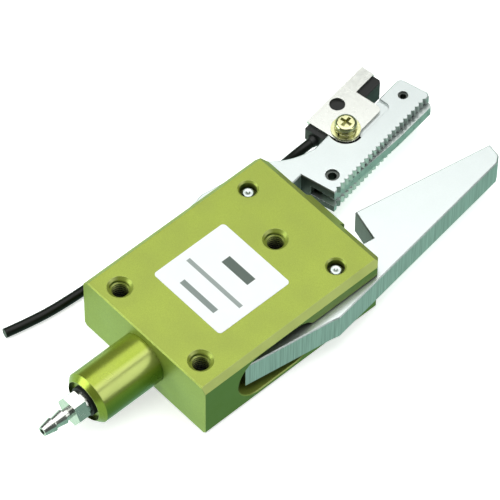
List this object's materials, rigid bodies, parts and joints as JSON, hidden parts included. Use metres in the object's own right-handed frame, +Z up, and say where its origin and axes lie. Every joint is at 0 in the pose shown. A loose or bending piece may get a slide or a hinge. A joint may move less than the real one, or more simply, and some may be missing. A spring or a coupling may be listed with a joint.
{
  "type": "pneumatic gripper",
  "caption": "Small angular pneumatic gripper for sprues: anodised block body, rear air cylinder with hose barb, two pivoting jaws and a part-detection switch with its lead.",
  "frame": {"origin": "centre of the housing's bottom face, under the plane of symmetry of the two levers", "axes": "+Y out of the jaws, away from the air fitting; +X to the plain jaw; +Z up, out of the labelled face"},
  "size_m": [0.0583, 0.1366, 0.0181],
  "materials": {
    "anodised": "bead blasted, olive gold anodised",
    "bright_aluminium": "milled and tumbled",
    "nickel": "bright nickel plate",
    "ground_steel": "ground",
    "tool_steel": "hardened and ground",
    "spring_steel": "oiled spring steel",
    "black_plastic": "moulded, fine satin",
    "cable_jacket": "smooth soft PVC",
    "rubber": "nitrile",
    "yellow_zinc": "yellow passivated zinc",
    "label_film": "white film",
    "brass": "turned",
    "bronze": "sintered"
  },
  "bodies": {
    "housing_assembly": {"housing": "anodised", "cylinder_tube": "anodised", "air_fitting": "nickel", "fitting_gasket": "rubber", "rod_bushing": "bronze", "stroke_bumper": "rubber", "left_pivot_pin": "ground_steel", "right_pivot_pin": "ground_steel", "thrust_washers": "bronze", "label": "label_film", "return_spring": "spring_steel", "opening_spring": "spring_steel", "sensor_cable": "cable_jacket"},
    "left_lever": {"left_jaw": "bright_aluminium", "left_pivot_bush": "bronze", "detection_pivot_pin": "spring_steel", "detection_stop_pin": "spring_steel", "detection_spring": "spring_steel", "sensor_body": "black_plastic", "sensor_relief": "black_plastic", "sensor_bracket": "nickel", "bracket_screw": "yellow_zinc", "spring_washer": "yellow_zinc", "flat_washer": "yellow_zinc"},
    "right_lever": {"right_jaw": "bright_aluminium", "right_pivot_bush": "bronze"},
    "piston_assembly": {"piston": "brass", "piston_seal": "rubber", "piston_rod": "ground_steel", "cam_wedge": "tool_steel", "cam_pin": "ground_steel"},
    "plate": {"detection_plate": "ground_steel"}
  },
  "joints": [
    {"name": "left_jaw_hinge", "type": "hinge", "parent": "housing_assembly", "child": "left_lever", "pos_m": [-0.01575, 0.018, 0.009], "axis": [0, 0, -1], "range_deg": [0, 9], "stiffness_Nm_per_rad": 0.1, "springref_deg": -5.73, "deforming": ["sensor_cable", "opening_spring"]},
    {"name": "right_jaw_hinge", "type": "hinge", "parent": "housing_assembly", "child": "right_lever", "pos_m": [0.01575, 0.018, 0.009], "axis": [0, 0, 1], "range_deg": [0, 9], "deforming": ["opening_spring"]},
    {"name": "piston_slide", "type": "slide", "parent": "housing_assembly", "child": "piston_assembly", "axis": [0, 1, 0], "range_m": [0, 0.00592], "deforming": ["return_spring"]},
    {"name": "detection_plate_hinge", "type": "hinge", "parent": "left_lever", "child": "plate", "pos_m": [-0.00782, 0.0389, 0.009], "axis": [0, 0, 1], "range_deg": [0, 2], "stiffness_Nm_per_rad": 0.02, "springref_deg": -2.86, "deforming": ["detection_spring"]}
  ],
  "couplings": [
    {"joint": "right_jaw_hinge", "follows": "left_jaw_hinge", "ratio": 1},
    {"joint": "piston_slide", "follows": "left_jaw_hinge", "m_per_rad": 0.037695}
  ]
}
